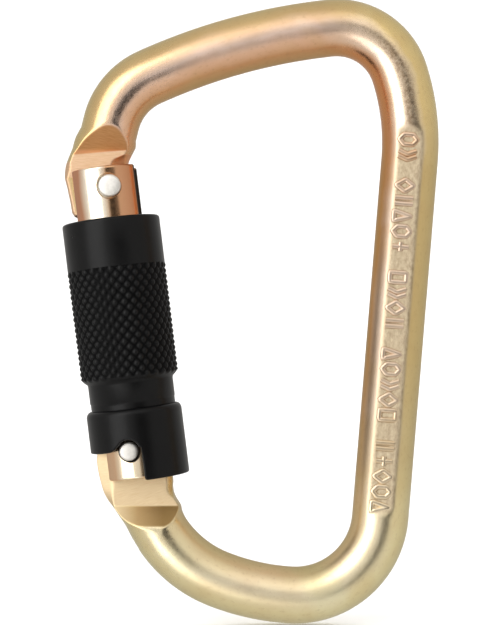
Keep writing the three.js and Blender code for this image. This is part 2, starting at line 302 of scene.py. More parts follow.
def piece(
    name, grid, matrix, body, slot, materials, replaces=(), angle=35, attributes=None, uv=None, second=None
):
    """Makes a mesh piece of (points, faces), shades it smooth up to an angle, and hangs it on its body.

    second picks the faces that take the second material.
    """
    mesh = new_mesh(name, grid)
    if second:
        for face in mesh.polygons:
            face.material_index = int(second(face.center))
    mesh.transform(matrix)
    for key, values in (attributes or {}).items():
        mesh.attributes.new(key, "FLOAT", "POINT").data.foreach_set("value", np.array(values, np.float32))
    if uv is not None:
        layer = mesh.uv_layers.new(name="Along")
        corners = np.zeros(len(mesh.loops), np.int32)
        mesh.loops.foreach_get("vertex_index", corners)
        layer.data.foreach_set("uv", np.array(uv, np.float32)[corners].ravel())
    return finish_piece(name, mesh, body, slot, materials, replaces, angle)


def finish_piece(name, mesh, body, slot, materials, replaces=(), angle=35):
    """Welds and shades a mesh, and hangs its object on its body."""
    bm = bmesh.new()
    bm.from_mesh(mesh)
    bmesh.ops.remove_doubles(bm, verts=bm.verts, dist=WELD)
    bmesh.ops.recalc_face_normals(bm, faces=bm.faces)
    for edge in bm.edges:
        edge.smooth = len(edge.link_faces) != 2 or edge.calc_face_angle(0) < math.radians(angle)
    for face in bm.faces:
        face.smooth = True
    bm.to_mesh(mesh)
    bm.free()
    for material in materials:
        mesh.materials.append(material)
    made = new_object(name, mesh)
    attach(made, body)
    if replaces:
        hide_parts(*replaces)
    return made


def lathe_grid(profile, around):
    """Points and faces of a closed profile of (radius, w) turned about the w axis."""
    angles = np.linspace(0, 2 * math.pi, around, endpoint=False)
    points = [(r * math.cos(a), r * math.sin(a), w) for r, w in profile for a in angles]
    return points, ring_faces(len(profile), around, close_rows=True)


def rounded(profile, radius, steps=4):
    """A closed polygon with each corner cut to an arc of up to that radius."""
    out = []
    p = [np.array(q, float) for q in profile]
    for before, here, after in zip([p[-1], *p[:-1]], p, [*p[1:], p[0]]):
        a, b = before - here, after - here
        cut = min(radius, np.linalg.norm(a) * 0.45, np.linalg.norm(b) * 0.45)
        a, b = here + a / np.linalg.norm(a) * cut, here + b / np.linalg.norm(b) * cut
        for t in np.linspace(0, 1, steps + 1):
            out.append(tuple((1 - t) ** 2 * a + 2 * t * (1 - t) * here + t**2 * b))
    return out


def prism(outline, bottom, top, edge, steps=4):
    """An outline of (x, y) run from bottom to top with both rims rounded by edge, and its end faces."""
    loop = np.array(outline, float)
    sides = np.roll(loop, -1, 0) - np.roll(loop, 1, 0)
    outward = np.stack((sides[:, 1], -sides[:, 0]), 1) / np.linalg.norm(sides, axis=1)[:, None]
    if signed_area(loop) < 0:
        outward = -outward
    rows = []
    for end, way in ((bottom, 1), (top, -1)):
        turns = [math.pi / 2 * i / steps for i in range(steps + 1)]
        rim = [(edge * (1 - math.sin(t)), end + way * edge * (1 - math.cos(t))) for t in turns]
        rim.append((0.0, end + way * (edge + 0.1)))
        rows += rim if way > 0 else rim[::-1]
    points = []
    for inset, w in rows:
        points += [(x, y, w) for x, y in loop - outward * inset]
    n = len(loop)
    faces = ring_faces(len(rows), n) + [tuple(range(n)), tuple(range((len(rows) - 1) * n, len(rows) * n))]
    return points, faces


def signed_area(loop):
    after = np.roll(loop, -1, 0)
    return 0.5 * float(np.sum(loop[:, 0] * after[:, 1] - after[:, 0] * loop[:, 1]))


def joined(*parts):
    """Several (points, faces) as one."""
    points, faces = [], []
    for p, f in parts:
        faces += [tuple(i + len(points) for i in face) for face in f]
        points += list(p)
    return points, faces


def raw_object(name, grid):
    mesh = new_mesh(name, grid)
    bm = bmesh.new()
    bm.from_mesh(mesh)
    bmesh.ops.recalc_face_normals(bm, faces=bm.faces)
    bm.to_mesh(mesh)
    bm.free()
    return new_object(name, mesh)


def cut(grid, *cutters):
    """A grid with each cutter grid taken away from it."""
    base = raw_object("cut_base", grid)
    tools = [raw_object("cut_tool", c) for c in cutters]
    for tool in tools:
        modifier = base.modifiers.new("cut", "BOOLEAN")
        modifier.operation = "DIFFERENCE"
        modifier.solver = "EXACT"
        modifier.object = tool
    evaluated = base.evaluated_get(bpy.context.evaluated_depsgraph_get())
    mesh = evaluated.to_mesh()
    points = [tuple(v.co) for v in mesh.vertices]
    faces = [tuple(f.vertices) for f in mesh.polygons]
    evaluated.to_mesh_clear()
    for made in (base, *tools):
        bpy.data.objects.remove(made)
    return points, faces


def cross_lathe(profile, x, w, side, around=48):
    """A closed (radius, depth) profile turned about a line along y through (x, w), facing side."""
    points, faces = lathe_grid(profile, around)
    return [(x + a, side * d, w + b) for a, b, d in points], faces


# ---------------------------------------------------------------- frame bar
def section_height(from_outer, from_inner, full, outer_edge, inner_edge):
    """Half thickness across the bar: part of an ellipse at each edge, a circle where both edges are BAR_R."""
    a = 1 - np.clip(from_outer / outer_edge, 0, 1)
    b = 1 - np.clip(from_inner / inner_edge, 0, 1)
    return full * np.sqrt(np.clip((1 - a * a) * (1 - b * b), 0, 1))


class Rows:
    """Lines across the bar, from its outer to its inner side, with what the section does there."""

    def __init__(self):
        self.outer, self.inner, self.full, self.edges, self.ramps, self.shoulder = [], [], [], [], [], []

    def add(self, outer, inner, full, edges, ramps, shoulder=None):
        """edges and ramps are (outer, inner) pairs: the widths of the rounding and of the pressed slope."""
        count = len(outer)
        self.outer.append(outer)
        self.inner.append(inner)
        self.full.append(np.broadcast_to(full, count))
        self.edges.append(np.stack([np.broadcast_to(e, count) for e in edges], 1))
        self.ramps.append(np.stack([np.broadcast_to(r, count) for r in ramps], 1))
        self.shoulder += [shoulder] * count

    def stacked(self):
        return [np.concatenate(kept) for kept in (self.outer, self.inner, self.full, self.edges, self.ramps)]


def tongue_rows(rows):
    w = np.arange(TONGUE_OUTER[0][1], TONGUE_OUTER[-1][1], 0.12)
    outer = np.interp(w, [p[1] for p in TONGUE_OUTER], [p[0] for p in TONGUE_OUTER])
    below = np.interp(w, [p[1] for p in TONGUE_INNER], [p[0] for p in TONGUE_INNER])
    above = np.interp(w, [p[1] for p in TONGUE_INNER_TOP], [p[0] for p in TONGUE_INNER_TOP])
    up = w - NOTCH_CENTRE[1]
    notch = NOTCH_CENTRE[0] - np.sqrt(np.clip(NOTCH_R**2 - up**2, 0, None))
    inner = np.where(np.abs(up) < NOTCH_R, notch, np.where(up < 0, below, above))
    full = BLADE_HALF * (0.8 + 0.2 * step(w[0], w[0] + 0.5, w))
    ends = [from_gate(np.stack((x, w), 1)) for x in (outer, inner)]
    rows.add(*ends, full, (0.7, 0.7), (0.4, 0.1), NOSE_SHOULDER)


def nose_rows(rows):
    centre, normal = BAR.at(FIRST_BAR_S)
    outer = np.vstack((from_gate(NOSE_OUTER), centre + BAR_R * normal))
    inner = np.vstack((from_gate(NOSE_INNER), centre - BAR_R * normal))
    t = np.linspace(0, 1, NOSE_ROWS)
    spread = step(0, 0.18, t)
    full = BLADE_HALF + (BAR_R - BLADE_HALF) * spread
    outer, inner = even_path(outer, NOSE_ROWS), even_path(inner, NOSE_ROWS)
    half_width = np.linalg.norm(outer - inner, axis=1) / 2
    edge = 0.7 + spread * (half_width - 0.7)
    outer_ramp = 0.4 + 0.9 * spread - 1.3 * step(0.24, 0.36, t)
    inner_ramp = 0.1 + 2.9 * step(0, 0.03, t) - 3.0 * step(0.32, 0.68, t)
    rows.add(outer, inner, full, (edge, edge), (outer_ramp, inner_ramp), NOSE_SHOULDER)


def bar_rows(rows):
    first_coarse, last_coarse = FIRST_BAR_S + FINE_LENGTH, LAST_BAR_S - FINE_LENGTH
    for a, b, gap, shoulder in (
        (FIRST_BAR_S, first_coarse, FINE_STEP, NOSE_SHOULDER),
        (first_coarse, last_coarse, COARSE_STEP, None),
        (last_coarse, LAST_BAR_S, FINE_STEP, HINGE_SHOULDER),
    ):
        at = [BAR.at(s) for s in np.linspace(a, b, round((b - a) / gap), endpoint=False)]
        centre, normal = np.array([p[0] for p in at]), np.array([p[1] for p in at])
        rows.add(centre + BAR_R * normal, centre - BAR_R * normal, BAR_R, (BAR_R, BAR_R), (0, 0), shoulder)


def tang_rows(rows):
    centre, normal = BAR.at(LAST_BAR_S)
    outer = np.vstack((centre + BAR_R * normal, from_gate(TANG_OUTER)))
    inner = np.vstack((centre - BAR_R * normal, from_gate(TANG_INNER)))
    t = np.linspace(0, 1, TANG_ROWS)
    edges = (BAR_R - 4.0 * step(0.05, 0.42, t), BAR_R - 4.0 * step(0.0, 0.3, t))
    ramps = (2.6 * step(0.42, 0.8, t), 1.1 * step(0.3, 0.5, t))
    rows.add(even_path(outer, TANG_ROWS), even_path(inner, TANG_ROWS), BAR_R, edges, ramps, HINGE_SHOULDER)
    tip_rows(rows)


def tip_rows(rows):
    """The tang's round tip inside the gate."""
    w = np.linspace(TANG_OUTER[-1][1], TANG_TOP, 22)[1:]
    round_tip = HINGE_X - np.sqrt(TANG_TIP_R**2 - w**2)
    outer_x = np.minimum(np.interp(w, (TANG_OUTER[-1][1], 0.6), (TANG_OUTER[-1][0], -7.8)), round_tip)
    outer_x = np.where(w < 0.6, outer_x, round_tip)
    inner_x = np.interp(w, (-1.5, 2, TANG_TOP), (TANG_INNER[-1][0], TANG_INNER[-1][0], 4.8))
    full = BAR_R * (1 - 0.55 * step(TANG_TOP - 0.5, TANG_TOP, w))
    ends = [from_gate(np.stack((x, w), 1)) for x in (outer_x, inner_x)]
    rows.add(*ends, full, (1.5, 1.5), (2.6, 1.1), HINGE_SHOULDER)


def shoulder_clip(p, shoulder):
    """How far up the shoulder's slope each point is, and the half thickness that the press left there."""
    x, z, lean, length, up = shoulder
    lean = math.radians(lean)
    past = ((p[:, 1] - z) * math.cos(lean) - (p[:, 0] - x) * math.sin(lean)) * up
    return past, BLADE_HALF + np.clip(past, 0, None) * (BAR_R + 0.1 - BLADE_HALF) / length


def panel_clip(p, outward):
    """The half thickness left by the spine's stamped flat. outward is the distance from the centreline."""
    along = (p - PANEL_CENTRE) @ (math.sin(PANEL_LEAN), math.cos(PANEL_LEAN))
    inside = p[:, 0] > 0
    end = step(PANEL_LENGTH / 2 - 1, PANEL_LENGTH / 2 + 0.6, np.abs(along))
    tilted = (PANEL_HALF + outward * math.sin(PANEL_TILT)) / math.cos(PANEL_TILT)
    return np.where(inside, tilted + 0.6 * end, BAR_R + 1), inside * (1 - end)


def pressed_sides(height, from_sides, ramps):
    """The half thickness where the press has sloped a blade's sides down to EDGE_LOW."""
    for distance, ramp in zip(from_sides, ramps):
        if ramp > 0.05:
            ceiling = EDGE_LOW + (BLADE_HALF + 0.1 - EDGE_LOW) * distance / ramp
            height = np.where(height > 0, soft_min(height, ceiling, 0.3), height)
    return height


def press_shares(past, cut_by, from_sides, ramps, at_nose):
    """How far each point of a row belongs to the press's flats and to its slopes."""
    flat, slope = cut_by * step(0.12, -0.12, past), cut_by * step(-0.12, 0.12, past)
    pressed = step(0.5, -0.5, past)
    outer, inner = ramps
    outer_slope = step(0.2, 0.35, outer) * step(outer + 0.8, outer + 0.2, from_sides[0])
    inner_slope = at_nose * step(0.5, 0.9, inner) * step(inner + 0.1, inner - 0.2, from_sides[1])
    flat = np.maximum(flat, outer_slope * pressed) * (1 - inner_slope)
    return flat, np.maximum(slope, inner_slope * pressed)


def bar_row(across, outer, inner, full, edges, ramps, shoulder):
    """Points across the bar, the half thickness at each, and each one's flat, slope and panel shares."""
    p = outer + across[:, None] * (inner - outer)
    width = np.linalg.norm(inner - outer)
    from_sides = (across * width, (1 - across) * width)
    height = pressed_sides(section_height(*from_sides, full, *edges), from_sides, ramps)
    flat, slope, panel = np.zeros(len(p)), np.zeros(len(p)), np.zeros(len(p))
    if shoulder:
        past, clip = shoulder_clip(p, shoulder)
        cut_by = step(0.0, 0.25, height - clip)
        flat, slope = press_shares(past, cut_by, from_sides, ramps, shoulder is NOSE_SHOULDER)
    else:
        clip, on_panel = panel_clip(p, (0.5 - across) * width)
        panel = step(-0.3, 0.15, height - clip) * on_panel
    thickness = np.where(height > 0, soft_min(height, clip, CREASE), 0)
    return p, np.clip(thickness, 0, None), (flat, slope, panel)


def there_and_back(values):
    """A row's values round the bar: across its front, then across its back between the shared ends."""
    return [*values, *values[-2:0:-1]]


def frame_bar_grid():
    """The whole bent bar, with its pressed nose, tang and stamped flat, as one grid."""
    rows = Rows()
    for make in (tongue_rows, nose_rows, bar_rows, tang_rows):
        make(rows)
    outer, inner, *section = rows.stacked()
    theta = np.linspace(0, math.pi, SIDE_STEPS + 1)
    across = (1 - np.cos(theta)) / 2
    walked = distances((outer + inner) / 2)
    points, uv, shares = [], [], {"flat": [], "slope": [], "panel": []}
    for i, shoulder in enumerate(rows.shoulder):
        p, half, here = bar_row(across, outer[i], inner[i], *(kept[i] for kept in section), shoulder)
        front, back = [[(x, way * d, z) for (x, z), d in zip(p + BAR.shift, half)] for way in (-1, 1)]
        points += front + back[-2:0:-1]
        uv += [(walked[i], v) for v in there_and_back(BAR_R * theta)]
        for kept, share in zip(shares.values(), here):
            kept += there_and_back(share)
    around = 2 * SIDE_STEPS
    faces = ring_faces(len(outer), around)
    faces += [tuple(range(around)), tuple(range((len(outer) - 1) * around, len(outer) * around))]
    return (points, faces), uv, shares


def frame_bar(material):
    grid, uv, shares = frame_bar_grid()
    scale = Matrix.Scale(MM, 4)
    return piece(
        "frame_bar_v", grid, scale, "frame", "plated_steel", [material], ["frame_bar"], 50, shares, uv
    )


# Strokes of the stamped marks, as (across, along) in shares of a mark's width and height. None is a letter.
MARKS = {
    "diamond": [[(0, -0.5), (0.5, 0), (0, 0.5), (-0.5, 0), (0, -0.5)]],
    "triangle": [[(-0.5, 0.42), (0.5, 0), (-0.5, -0.42), (-0.5, 0.42)]],
    "chevrons": [
        [(-0.5, -0.35), (0, -0.05), (0.5, -0.35)],
        [(-0.5, 0.1), (0, 0.4), (0.5, 0.1)],
    ],
    "plus": [[(-0.45, 0), (0.45, 0)], [(0, -0.38), (0, 0.38)]],
    "hexagon": [
        [(-0.5, 0), (-0.25, 0.42), (0.25, 0.42), (0.5, 0), (0.25, -0.42), (-0.25, -0.42), (-0.5, 0)],
    ],
    "bars": [[(-0.5, -0.25), (0.5, -0.25)], [(-0.5, 0.25), (0.5, 0.25)]],
    "square": [[(-0.45, -0.4), (0.45, -0.4), (0.45, 0.4), (-0.45, 0.4), (-0.45, -0.4)]],
}
MARK_ROW = (
    "hexagon chevrons - diamond bars triangle hexagon plus - square chevrons diamond bars - "
    "triangle hexagon chevrons diamond square - bars plus diamond hexagon triangle"
).split()
MARK_PITCH = 2.95
MARK_WIDTH = 3.5
MARK_HEIGHT = 2.3
MARK_SHIFT = 0.45  # towards the gate, off the flat's middle
STROKE_R = 0.52
STROKE_PROUD = 0.27
STROKE_FLATTEN = 0.55  # a stroke's depth over its width
MARK_TINT = 0.7  # the marks take the plating's colour from this share of the way round the bar


def mark_strokes():
    """Each stroke of the row of marks, as a path in the centreline's plane."""
    down = -np.array((math.sin(PANEL_LEAN), math.cos(PANEL_LEAN)))
    across = np.array((-down[1], down[0]))
    half_row = (len(MARK_ROW) - 1) / 2 * MARK_PITCH
    first = np.array(PANEL_CENTRE) - across * MARK_SHIFT - down * (half_row - 0.6)
    for i, name in enumerate(MARK_ROW):
        centre = first + down * i * MARK_PITCH
        for stroke in MARKS.get(name, ()):
            path = even_path(stroke, 6 * len(stroke), smooth=False)
            is_loop = stroke[0] == stroke[-1]
            path = path[:-1] if is_loop else path
            size = np.outer(path[:, 0] * MARK_WIDTH, across) + np.outer(path[:, 1] * MARK_HEIGHT, down)
            yield centre + size, is_loop


def spine_marks(material):
    """Raised strokes down the stamped flat."""
    curve = bpy.data.curves.new("marks", "CURVE")
    curve.dimensions = "3D"
    curve.bevel_depth = STROKE_R
    curve.bevel_resolution = 3
    curve.use_fill_caps = True
    for path, is_loop in mark_strokes():
        spline = curve.splines.new("POLY")
        spline.use_cyclic_u = is_loop
        spline.points.add(len(path) - 1)
        for point, (x, z) in zip(spline.points, path + BAR.shift):
            point.co = (x, 0, z, 1)
    holder = new_object("marks", curve)
    depsgraph = bpy.context.evaluated_depsgraph_get()
    mesh = bpy.data.meshes.new_from_object(holder.evaluated_get(depsgraph))
    bpy.data.objects.remove(holder)
    front = -(PANEL_HALF - STROKE_R * STROKE_FLATTEN + STROKE_PROUD) * MM
    mesh.transform(Matrix.Translation((0, front, 0)) @ Matrix.Diagonal((MM, MM * STROKE_FLATTEN, MM, 1)))
    layer = mesh.uv_layers.new(name="Along")
    for loop in mesh.loops:
        down_bar = -mesh.vertices[loop.vertex_index].co.z / MM
        layer.data[loop.index].uv = (down_bar, math.pi * BAR_R * MARK_TINT)
    return finish_piece("spine_marks", mesh, "frame", "plated_steel", [material], angle=60)


# ---------------------------------------------------------------- gate
def cheek_outline(side):
    """One cheek's section in (x, y): the round bar beyond the slot, with its two sharp edges eased."""
    ease = 0.5
    cx = math.sqrt((GATE_R - ease) ** 2 - (SLOT_HALF + ease) ** 2)
    cy = -(SLOT_HALF + ease)
    reach = math.atan2(cy, cx)
    arc = np.linspace(math.pi - reach, 2 * math.pi + reach, 60)
    outline = [(GATE_R * math.cos(a), GATE_R * math.sin(a)) for a in arc]
    turns = np.linspace(reach, math.pi / 2, 6)[1:]
    right = [(cx + ease * math.cos(a), cy + ease * math.sin(a)) for a in turns]
    left = [(-x, y) for x, y in reversed(right)]
    return [(x, -side * y) for x, y in outline + right + left]


def seat_cutter(radius, x, w, side):
    r = radius + SEAT_GAP
    profile = [(0, SEAT_Y), (r, SEAT_Y), (r, 6.85), (r + 0.3, 7.25), (r + 0.3, 9), (0, 9)]
    return cross_lathe(profile, x, w, side)


def pin_cutter(x, w, side):
    return cross_lathe([(0, 2), (PIN_R + 0.1, 2), (PIN_R + 0.1, 9), (0, 9)], x, w, side)


def gate_cheeks():
    """The four ears beside the slots, cut for the two rivets."""
    for bottom, top, x, w, head in (
        (GATE_BOTTOM, SLOT_TOP + CHEEK_OVERLAP, HINGE_X, 0.0, HINGE_HEAD_R),
        (SLOT_FLOOR - CHEEK_OVERLAP, GATE_TOP, *NOTCH_CENTRE, LATCH_HEAD_R),
    ):
        for side in (-1, 1):
            tools = [pin_cutter(x, w, side)]
            if side < 0 or head == LATCH_HEAD_R:
                tools.append(seat_cutter(head, x, w, side))
            yield cut(prism(cheek_outline(side), bottom, top, 0.45, 6), *tools)


def gate_bar(material, painted_shade_look):
    turns = np.linspace(0, 2 * math.pi, 128, endpoint=False)
    circle = [(GATE_R * math.cos(a), GATE_R * math.sin(a)) for a in turns]
    bore_foot = SLOT_TOP - 1
    bore = lathe_grid([(0, bore_foot), (BORE_R, bore_foot), (BORE_R, BORE_TOP), (0, BORE_TOP)], 48)
    middle = cut(prism(circle, SLOT_TOP, SLOT_FLOOR, 0.02), bore)
    grid = joined(*gate_cheeks(), middle)
    across = {"across": [p[0] / GATE_R for p in grid[0]]}
    # the second look is painted shade, for the slots, the hinge rivet's seat ring and the strip beside each
    # slot
    looks = [material, painted_shade_look]
    return piece(
        "gate_bar_v", grid, GATE, "gate", "plated_steel", looks, ["gate_bar"], 18, across, second=gets_painted_shade
    )


def gets_painted_shade(centre):
    """True for a face that takes painted shade: in a slot, in the hinge rivet's seat ring as its painted
    shadow, or on the strip down a slot's inner side, standing for the shaded slot beyond it.
    """
    slot_wall = abs(centre.y) < SLOT_HALF + 0.05
    inner_lip = centre.x > INNER_LIP_X and abs(centre.y) < 4.6
    open_end = centre.z < SLOT_TOP or centre.z > SLOT_FLOOR
    from_rivet = math.hypot(centre.x - HINGE_X, centre.z)
    # painted shadow: the ring round the hinge rivet's head
    seat = from_rivet < HINGE_HEAD_R + SEAT_GAP + 0.31 and math.hypot(centre.x, centre.y) < GATE_R - 0.04
    return open_end and (slot_wall or inner_lip or seat)


HEAD_DOME = ((1.0, 0.52), (0.97, 0.3), (0.89, 0.16), (0.76, 0.08), (0.5, 0.03), (0.25, 0.01), (0.0, 0.0))


def head_profile(radius):
    back = SEAT_Y + 0.3
    dome = [(radius * r, HEAD_TOP - d) for r, d in HEAD_DOME]
    return [(PIN_R, back), (radius - 0.1, back), (radius, back + 0.1), *dome]


def hinge_rivet(material):
    tail = [(0, 6.5), (PIN_R - 0.2, 6.5), (PIN_R, 6.3)]
    head = [(r, -d) for r, d in head_profile(HINGE_HEAD_R)]
    grid = cross_lathe(tail + head, HINGE_X, 0, 1)
    return piece("hinge_rivet_v", grid, GATE, "frame", "rivet_steel", [material], ["hinge_rivet"])


def latch_pin(material):
    head = head_profile(LATCH_HEAD_R)
    grid = cross_lathe(head[::-1] + [(r, -d) for r, d in head], *NOTCH_CENTRE, 1)
    return piece("latch_pin_v", grid, GATE, "gate", "rivet_steel", [material], ["latch_pin"])


def plunger(material):
    turns, r = np.linspace(0, math.pi / 2, 9), PLUNGER_R
    tip = [(r * math.sin(a), PLUNGER_BOTTOM + r * (1 - math.cos(a))) for a in turns]
    profile = [*tip, (r, PLUNGER_TOP - 0.2), (r - 0.2, PLUNGER_TOP), (0, PLUNGER_TOP)]
    grid = lathe_grid(profile, 64)
    return piece("plunger_v", grid, GATE, "plunger", "rivet_steel", [material], ["plunger"])


def stop_collar(material):
    box = [(LAND_R, STOP_BOTTOM), (STOP_R, STOP_BOTTOM), (STOP_R, STOP_TOP), (LAND_R, STOP_TOP)]
    grid = lathe_grid(rounded(box, 0.2), 96)
    return piece("stop_collar_v", grid, GATE, "gate", "rivet_steel", [material], ["stop_collar"])


def coil_grid(radius, wire, turns, bottom, top):
    """An open-ended helix of round wire about the gate's axis."""
    points, around, count = [], 12, 48 * turns
    for t in np.linspace(0, 1, count + 1):
        a = 2 * math.pi * turns * t
        out = np.array((math.cos(a), math.sin(a), 0))
        centre = radius * out + (0, 0, bottom + wire + (top - bottom - 2 * wire) * t)
        for b in np.linspace(0, 2 * math.pi, around, endpoint=False):
            points.append(centre + wire * (out * math.cos(b) + (0, 0, math.sin(b))))
    ends = [tuple(range(around)), tuple(range(count * around, (count + 1) * around))]
    return points, ring_faces(count + 1, around) + ends


def sleeve_spring(material):
    bottom, top = LEDGE + GAP, STOP_BOTTOM - GAP
    grid = coil_grid(SLEEVE_COIL_R, SLEEVE_WIRE_R, SLEEVE_COIL_TURNS, bottom, top)
    return piece("sleeve_spring_v", grid, GATE, "gate", "spring_steel", [material], ["sleeve_spring"])


def gate_spring(material):
    """The plunger's spring, drawn at one length between the plunger's top and the top of its bore, in a mesh
    of its own; the real spring shortens as the plunger rises.
    """
    grid = coil_grid(GATE_COIL_R, GATE_WIRE_R, GATE_COIL_TURNS, PLUNGER_TOP + GAP, BORE_TOP - GAP)
    made = piece("gate_spring_v", grid, GATE, "gate", "spring_steel", [material], ["gate_spring"])
    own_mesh(made)
    return made


# ---------------------------------------------------------------- locking sleeve
def knurl(angle, w):
    """Height share of the diamond knurl, from 0 in its grooves to 1 on its crests."""
    def wave(t):
        return np.sin(math.pi * (t - np.floor(t))) ** 1.3

    turn, run = KNURLS * angle / (2 * math.pi), (w - KNURL_BOTTOM) / KNURL_PITCH
    return wave(turn + run) * wave(turn - run)


def grip_profile():
    """The sleeve's closed (radius, w) profile, as its neck, its knurled band and its ring with the bore."""
    neck = [
        (LAND_R, SPIGOT_BOTTOM), (SPIGOT_R - 0.2, SPIGOT_BOTTOM), (SPIGOT_R, SPIGOT_BOTTOM + 0.2),
        (SPIGOT_R, 8.6), (NECK_R - 0.1, 8.8), (NECK_R - 0.1, 9.4), (NECK_R, 9.5), (NECK_R, 12.9),
        (NECK_R + 0.12, 13.3), (NECK_R + 0.6, 13.7), (KNURL_R - 0.45, 14.0),
    ]
    rows = round((KNURL_TOP - KNURL_BOTTOM) / KNURL_PITCH * KNURL_STEPS)
    knurled = [(KNURL_R, w) for w in np.linspace(KNURL_BOTTOM, KNURL_TOP, rows + 1)]
    ring = [
        (GRIP_R, KNURL_TOP + 0.12), (GRIP_R, KNURL_TOP + 0.2), (GRIP_R, 40.0), (GRIP_R, GRIP_TOP - 0.55),
        (GRIP_R - 0.08, GRIP_TOP - 0.25), (GRIP_R - 0.25, GRIP_TOP - 0.08), (GRIP_R - 0.5, GRIP_TOP),
        (CHAMBER_R + 0.25, GRIP_TOP), (CHAMBER_R, GRIP_TOP - 0.2), (CHAMBER_R, LEDGE + 0.1),
        (CHAMBER_R - 0.1, LEDGE), (LAND_R + 0.1, LEDGE), (LAND_R, LEDGE - 0.1),
    ]
    return neck, knurled, ring


def grip_sleeve(material):
    neck, knurled, ring = grip_profile()
    around = KNURL_STEPS * KNURLS
    points, faces = lathe_grid(neck + knurled + ring, around)
    p = np.array(points)
    first, last = len(neck) * around, (len(neck) + len(knurled)) * around
    zone = p[first:last]
    angle, w = np.arctan2(zone[:, 1], zone[:, 0]), zone[:, 2]
    fade = 0.35 + 0.65 * step(KNURL_TOP + 0.3, KNURL_TOP - 0.5, w)
    wear = 0.06 * (KNURL_TOP - w) / (KNURL_TOP - KNURL_BOTTOM)
    radius = KNURL_R - wear - KNURL_DEPTH * (1 - knurl(angle, w)) * fade
    zone[:, 0], zone[:, 1] = radius * np.cos(angle), radius * np.sin(angle)
    crest = {"crest": np.full(len(p), SMOOTH_CREST)}
    crest["crest"][first:last] = knurl(angle, w)
    return piece(
        "grip_sleeve_v", (p, faces), GATE, "sleeve", "black_sleeve", [material], ["grip_sleeve"], 60, crest
    )


def unroll(x):
    """The distance round the collar's front to where it is x from its middle."""
    return COLLAR_R * math.asin(x / COLLAR_R)


def skirt_path():
    """The collar's lower edge unrolled, (distance round from the front, w), from back left to back right."""
    half = math.pi * COLLAR_R
    front, back = unroll(SKIRT_FRONT), COLLAR_R * (math.pi / 2 + SKIRT_BACK)
    short = [(-half, SHORT_SKIRT), (unroll(-7.2), SHORT_SKIRT), (unroll(-6.2), SHORT_SKIRT + 0.02)]
    rise = [(unroll(x), w) for x, w in ((-5.0, 0.14), (-4.2, 0.5), (-3.7, 0.98))]
    turns = np.radians(np.linspace(140, 22, 13))
    arch = [(unroll(HINGE_X + ARCH_R * math.cos(a)), ARCH_R * math.sin(a)) for a in turns]
    long = [(front - 0.05, 0.55), (front, 0.1), (front, -5.2), (front + 0.12, -5.6)]
    long += [(front + 0.5, LONG_SKIRT), (back - 1.0, LONG_SKIRT), (back - 0.25, -5.5), (back, -4.8)]
    end = [(back, -0.7), (back + 0.2, -0.2), (back + 0.8, SHORT_SKIRT), (half, SHORT_SKIRT)]
    return short + rise + arch + long + end


def lip_lines(path):
    """The inward normal at each point of the skirt's edge, and the place on the top that it is ruled to."""
    way = np.roll(path, -1, 0) - np.roll(path, 1, 0)
    way[0] = way[-1] = (1, 0)
    inward = np.stack((-way[:, 1], way[:, 0]), 1) / np.linalg.norm(way, axis=1)[:, None]
    gaps = np.abs(np.diff(path, axis=0, append=[(math.pi * COLLAR_R, 0)]))
    weight = gaps[:, 0] + 0.35 * gaps[:, 1]
    share = np.concatenate(([0], np.cumsum(weight)[:-1])) / weight.sum()
    return inward, 2 * math.pi * COLLAR_R * (share - 0.5)


def collar_rows(path):
    """Rings of (distance round, w, radius): down the outside, under the lip and up the bore."""
    inward, top = lip_lines(path)

    def ruled(share, w_top, lip):
        start = path + inward * lip
        u = start[:, 0] + (top - start[:, 0]) * share
        return u, start[:, 1] + (w_top - start[:, 1]) * share

    rim = ((COLLAR_BORE_R + 0.1, COLLAR_TOP), (COLLAR_R - 0.75, COLLAR_TOP), (COLLAR_R - 0.5, 7.9))
    rim += ((COLLAR_R - 0.2, 7.6), (COLLAR_R - 0.05, 7.2))
    rows = [(top, np.full(len(top), w), radius) for radius, w in rim]
    rows += [(*ruled(share, COLLAR_SHOULDER, LIP_R), COLLAR_R) for share in np.linspace(1, 0, 12)]
    for a in np.linspace(0, math.pi / 2, 5)[1:]:
        rows.append((*ruled(0, 0, LIP_R * (1 - math.sin(a))), COLLAR_R - LIP_R * (1 - math.cos(a))))
    for lip, radius in ((0, COLLAR_BORE_R + 0.2), (0.06, COLLAR_BORE_R + 0.06), (0.2, COLLAR_BORE_R)):
        rows.append((*ruled(0, 0, lip), radius))
    rows += [(*ruled(share, COLLAR_TOP - 0.1, 0.2), COLLAR_BORE_R) for share in np.linspace(0, 1, 10)[1:]]
    return rows


def lock_collar(material):
    """A shell ruled from its shaped lower lip to its round top."""
    path = even_path(skirt_path(), 360, smooth=False)[:-1]
    rows = collar_rows(path)
    points = []
    for u, w, radius in rows:
        angle = u / COLLAR_R
        points += list(zip(radius * np.sin(angle), -radius * np.cos(angle), w))
    grid = points, ring_faces(len(rows), len(path), close_rows=True)
    return piece("lock_collar_v", grid, GATE, "sleeve", "black_sleeve", [material], ["lock_collar"], 50)


